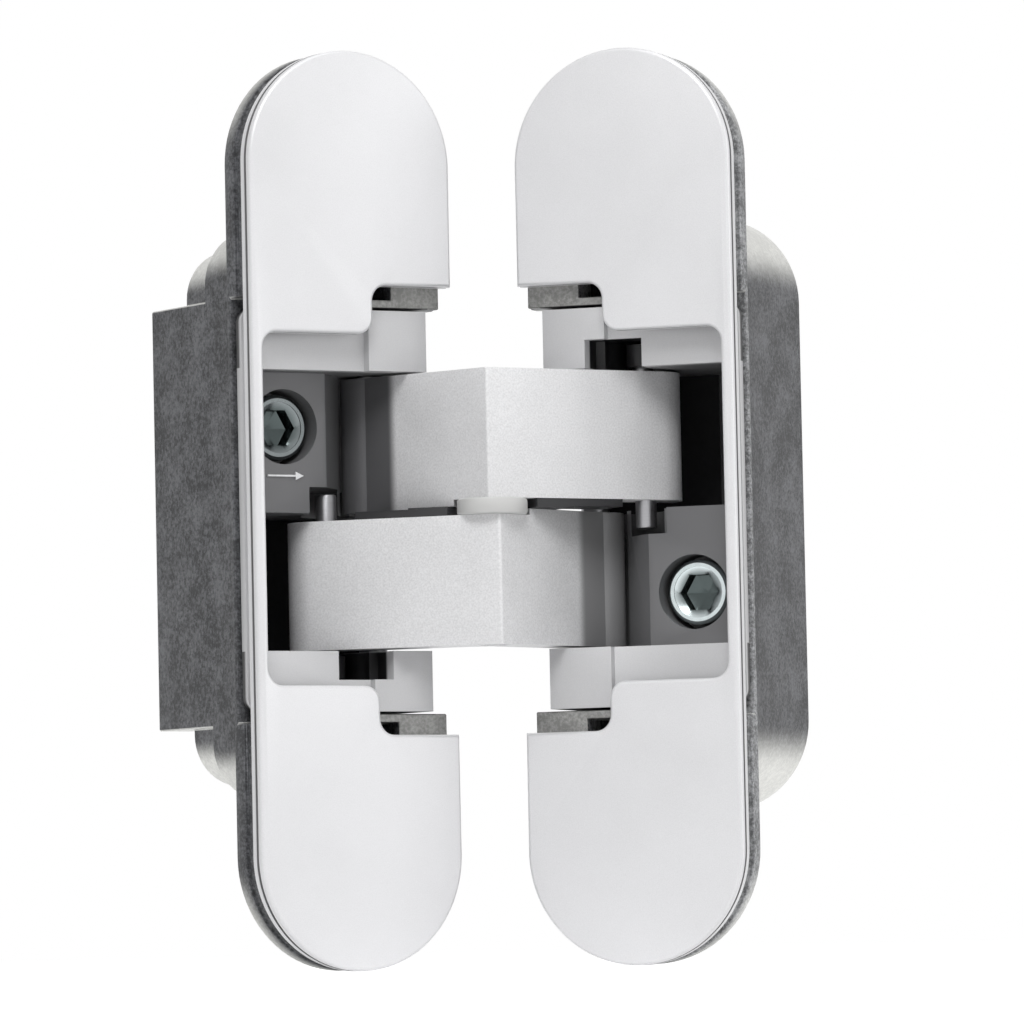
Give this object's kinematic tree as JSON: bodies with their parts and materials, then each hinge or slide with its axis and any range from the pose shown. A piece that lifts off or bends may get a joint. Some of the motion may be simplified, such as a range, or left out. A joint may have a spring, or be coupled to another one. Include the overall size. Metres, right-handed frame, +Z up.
{
  "type": "concealed door hinge",
  "caption": "Concealed door hinge with two crossed arms between two mortised halves, each with a rounded cover, a sliding carrier and an adjusting screw.",
  "frame": {"origin": "centre of the frame half's fixing pattern, on the back plane of its flange", "axes": "+Z up along the hinge's swing axis, -Y out of the front of the frame half, +X towards its inner edge"},
  "size_m": [0.0734, 0.0537, 0.112],
  "materials": {
    "satin_cover": "satin silver lacquer",
    "raw_casting": "raw mottled zinc casting",
    "satin_carrier": "satin silver lacquer",
    "satin_arm": "fine-grained satin silver",
    "pin_steel": "ground steel",
    "zinc_screw": "bright zinc plate",
    "nylon": "pale nylon"
  },
  "bodies": {
    "frame_case": {"frame_case": "raw_casting", "frame_cover": "satin_cover"},
    "frame_carrier": {"frame_carrier": "satin_carrier", "frame_pivot_pin": "pin_steel"},
    "frame_screw": {"frame_adjust_screw": "zinc_screw", "frame_screw_clip": "pin_steel"},
    "upper_arm": {"upper_arm": "satin_arm", "upper_arm_bush": "nylon", "upper_slide_pin": "pin_steel", "upper_slide_sleeve": "nylon", "centre_pin": "pin_steel", "centre_washer": "nylon"},
    "lower_arm": {"lower_arm": "satin_arm", "lower_arm_bush": "nylon", "lower_slide_pin": "pin_steel", "lower_slide_sleeve": "nylon"},
    "door_carrier": {"door_carrier": "satin_carrier", "door_pivot_pin": "pin_steel"},
    "door_screw": {"door_adjust_screw": "zinc_screw", "door_screw_clip": "pin_steel"},
    "door_case": {"door_case": "raw_casting", "door_cover": "satin_cover"}
  },
  "joints": [
    {"name": "frame_screw_turn", "type": "hinge", "parent": "frame_carrier", "child": "frame_screw", "pos_m": [-0.0054, 0, 0.0105], "axis": [0, 1, 0], "range_deg": [-288, 288]},
    {"name": "frame_adjust", "type": "slide", "parent": "frame_case", "child": "frame_carrier", "axis": [0, 1, 0], "range_m": [-0.001, 0.001]},
    {"name": "frame_pivot", "type": "hinge", "parent": "frame_carrier", "child": "upper_arm", "pos_m": [0.009, 0.0058, 0], "axis": [0, 0, 1], "range_deg": [-59.69, 24.91]},
    {"name": "centre_pivot", "type": "hinge", "parent": "upper_arm", "child": "lower_arm", "pos_m": [0.01476, -0.01387, 0], "axis": [0, 0, 1], "range_deg": [-7.62, 3.18]},
    {"name": "door_pivot", "type": "hinge", "parent": "lower_arm", "child": "door_carrier", "pos_m": [0.03394, -0.00663, 0], "axis": [0, 0, 1], "range_deg": [-59.69, 24.91]},
    {"name": "door_screw_turn", "type": "hinge", "parent": "door_carrier", "child": "door_screw", "pos_m": [0.03797, -0.02162, -0.0105], "axis": [0.7986, 0.6018, 0], "range_deg": [-288, 288]},
    {"name": "door_adjust", "type": "slide", "parent": "door_carrier", "child": "door_case", "axis": [-0.7986, -0.6018, 0], "range_m": [-0.001, 0.001]}
  ],
  "couplings": [
    {"joint": "frame_screw_turn", "follows": "frame_adjust", "rad_per_m": 5026.5},
    {"joint": "door_screw_turn", "follows": "door_adjust", "rad_per_m": 5026.5},
    {"joint": "centre_pivot", "follows": "frame_pivot", "ratio": 0.12766},
    {"joint": "door_pivot", "follows": "frame_pivot", "ratio": 1}
  ]
}
